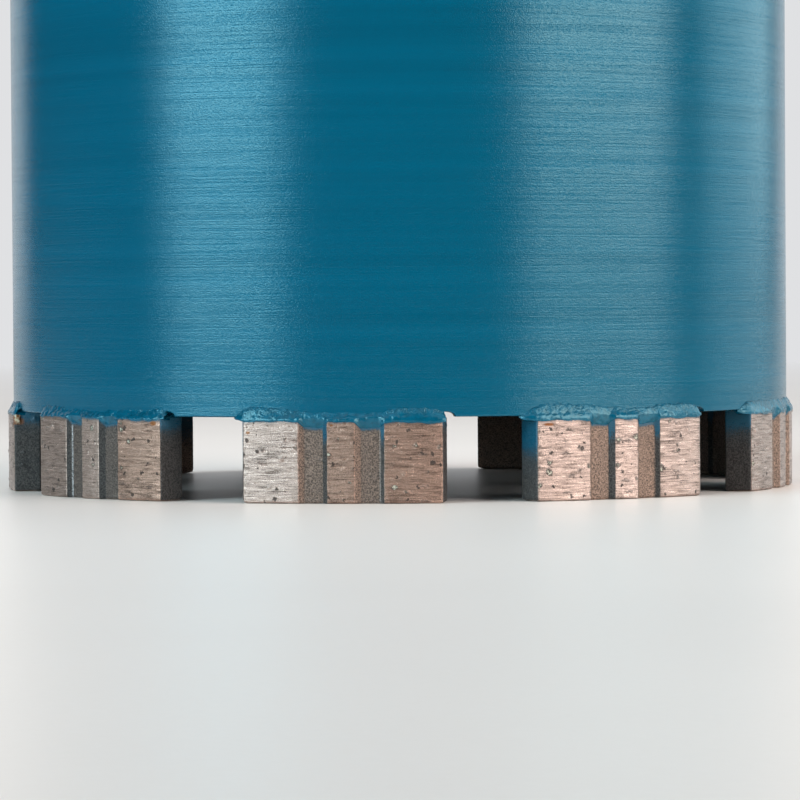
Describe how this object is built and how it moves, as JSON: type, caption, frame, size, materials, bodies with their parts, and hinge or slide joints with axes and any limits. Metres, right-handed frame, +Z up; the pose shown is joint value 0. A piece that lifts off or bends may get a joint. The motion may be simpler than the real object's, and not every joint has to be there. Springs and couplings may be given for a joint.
{
  "type": "diamond core bit",
  "caption": "Hollow cylindrical core bit for wet drilling in concrete: a painted steel barrel with grooved diamond segments brazed round its open end and a female threaded hub.",
  "frame": {"origin": "on the drilling axis, in the cutting plane that the segments stand on", "axes": "+Z up the drilling axis from the cutting plane to the threaded hub; -Y passes through segment_1, 7.9 degrees from its middle; segments are numbered anticlockwise seen from above"},
  "size_m": [0.102, 0.1022, 0.49],
  "materials": {
    "teal_paint": "satin",
    "painted_braze": "gloss",
    "sintered_bond": "satin",
    "turned_steel": "satin"
  },
  "bodies": {
    "root": {"barrel_tube": "teal_paint", "end_plate": "teal_paint", "plate_weld": "teal_paint", "threaded_hub": "turned_steel", "hub_weld": "teal_paint", "segment_1": "sintered_bond", "segment_2": "sintered_bond", "segment_3": "sintered_bond", "segment_4": "sintered_bond", "segment_5": "sintered_bond", "segment_6": "sintered_bond", "segment_7": "sintered_bond", "segment_8": "sintered_bond", "segment_9": "sintered_bond", "braze_bead_1": "painted_braze", "braze_bead_2": "painted_braze", "braze_bead_3": "painted_braze", "braze_bead_4": "painted_braze", "braze_bead_5": "painted_braze", "braze_bead_6": "painted_braze", "braze_bead_7": "painted_braze", "braze_bead_8": "painted_braze", "braze_bead_9": "painted_braze"}
  },
  "joints": []
}
